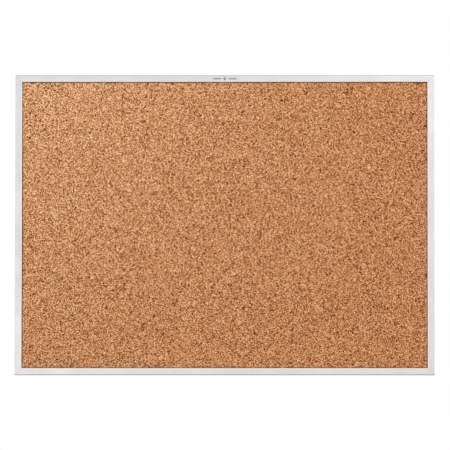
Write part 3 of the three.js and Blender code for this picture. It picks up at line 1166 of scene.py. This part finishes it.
def keyhole():
    """A round hole with a slot both ways, drawn the opposite way round from the plate's edge."""
    half = KEYHOLE_SLOT / 2
    shoulder = math.acos(half / KEYHOLE_RADIUS)
    side_sweep = -2 * shoulder
    right = ring(0, KEYHOLE_INWARD, KEYHOLE_RADIUS, shoulder, side_sweep, ARC_STEPS)
    bottom = ring(0, KEYHOLE_INWARD - KEYHOLE_TRAVEL, half, 0, -math.pi, ARC_STEPS)
    left = ring(0, KEYHOLE_INWARD, KEYHOLE_RADIUS, math.pi + shoulder, side_sweep, ARC_STEPS)
    top = ring(0, KEYHOLE_INWARD + KEYHOLE_TRAVEL, half, math.pi, -math.pi, ARC_STEPS)
    return right + bottom + left + top


def screw_head(start, end):
    """The rings of a low domed head between two depths, from its middle to the shank."""
    height = end - start - HEAD_EDGE / 3
    rings = []
    for step in range(1, HEAD_STEPS + 1):
        turn = step / HEAD_STEPS * QUARTER
        rings.append((HEAD_RADIUS * math.sin(turn), start + HEAD_EDGE * (1 - math.cos(turn))))
    rings.append((HEAD_RADIUS, start + height))
    rings.append((HEAD_RADIUS - HEAD_EDGE / 3, end))
    return [(lambda turn, r=radius: r, depth) for radius, depth in rings]


def clamp_screw_mesh(name, start, shank_end, head_end):
    """Head and threaded shank in one, with a cross recess."""
    rings = screw_head(start, head_end) + threaded(head_end + PITCH / 10, shank_end)
    mesh = solid_mesh(name, lambda shape: lathe(shape, rings))
    bottom = -(start + CROSS_DEPTH)
    half = CROSS_WIDTH / 2
    arms = [
        ((-CROSS_REACH, bottom, -half), (CROSS_REACH, 0, half)),
        ((-half, bottom, -CROSS_REACH), (half, 0, CROSS_REACH)),
    ]
    return cut_mesh(mesh, arms)


def channel_plate(name, side, node, rounds, holes, body):
    """A hanger's plate or nut, at the size of its node, with its near and far corners rounded."""
    low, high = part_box(node)
    half = (high.x - low.x) / 2
    near, far = inward_span(side, node)
    near_round, far_round = rounds
    corners = [
        (-half, near, near_round),
        (half, near, near_round),
        (half, far, far_round),
        (-half, far, far_round),
    ]
    mesh = plate_mesh(name, [rounded(corners), *holes], *depths(node))
    plate = add_piece(name, mesh, zinc_plate, body, along_side(side, node), [node])
    weigh_normals(plate)


screw_hole = ring(0, MOUTH_MIDDLE, SCREW_HOLE)[::-1]
for side in ("top", "bottom"):
    for hand in ("left", "right"):
        which = f"{side}_{hand}"
        body = f"hanger_{which}"
        plate_node, nut_node, screw_node = [f"hanger_{kind}_{which}" for kind in ("plate", "nut", "screw")]
        plate_holes = [screw_hole, keyhole()]
        channel_plate(f"keyhole_plate_{which}", side, plate_node, PLATE_ROUNDS, plate_holes, body)
        channel_plate(f"slide_nut_{which}", side, nut_node, NUT_ROUNDS, [screw_hole], body)
        name = f"clamp_screw_{which}"
        mesh = clamp_screw_mesh(name, *depths(screw_node), depths(plate_node)[0] - HEAD_CLEARANCE)
        place = along_side(side, plate_node) @ Matrix.Translation((0, 0, MOUTH_MIDDLE))
        add_piece(name, mesh, zinc_plate, body, place, [screw_node])

# %% [markdown]
# ## The printed mark
#
# Boards of this kind carry a small grey print in the middle of the top rail. This one is a plain ornament:
# a diamond between two short bars. It is a film of ink a few hundredths of a millimetre thick, made as its
# own thin piece, so that it keeps a crisp edge however close one looks.

# %% Printed mark
INK_INWARD = 0.0076
DIAMOND = 0.0042
BAR_START = 0.008
BAR_END = 0.026
BAR_HALF = 0.0016


def mark_mesh(name):
    """Three flat shapes, each given the ink's thickness."""
    shapes = [[(-DIAMOND, 0), (0, -DIAMOND), (DIAMOND, 0), (0, DIAMOND)]]
    for hand in (-1, 1):
        near, far = hand * BAR_START, hand * BAR_END
        shapes.append([(near, -BAR_HALF), (far, -BAR_HALF), (far, BAR_HALF), (near, BAR_HALF)])

    def build(shape):
        for outline in shapes:
            layers = []
            for depth in (rail_front - INK / 4, face_depth):
                layers.append([shape.verts.new((x, -depth, INK_INWARD + z)) for x, z in outline])
            for layer in layers:
                shape.faces.new(layer)
            for i in range(len(outline)):
                shape.faces.new([layers[0][i - 1], layers[0][i], layers[1][i], layers[1][i - 1]])

    return solid_mesh(name, build)


add_piece("printed_mark", mark_mesh("printed_mark"), ink_finish, place=stand(*SIDES["top"]))

# %% [markdown]
# ## Check the size
#
# Dressing a model must not change its size. The box round the CAD pieces was kept at the start, and the box
# round everything that now shows is written beside it.

# %% Write the sizes
visual_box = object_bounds()
for corner, visual, cad in zip(("low", "high"), visual_box, cad_box):
    print(f"{corner} corner moved by", [round((v - c) * 1000, 3) for v, c in zip(visual, cad)], "mm")
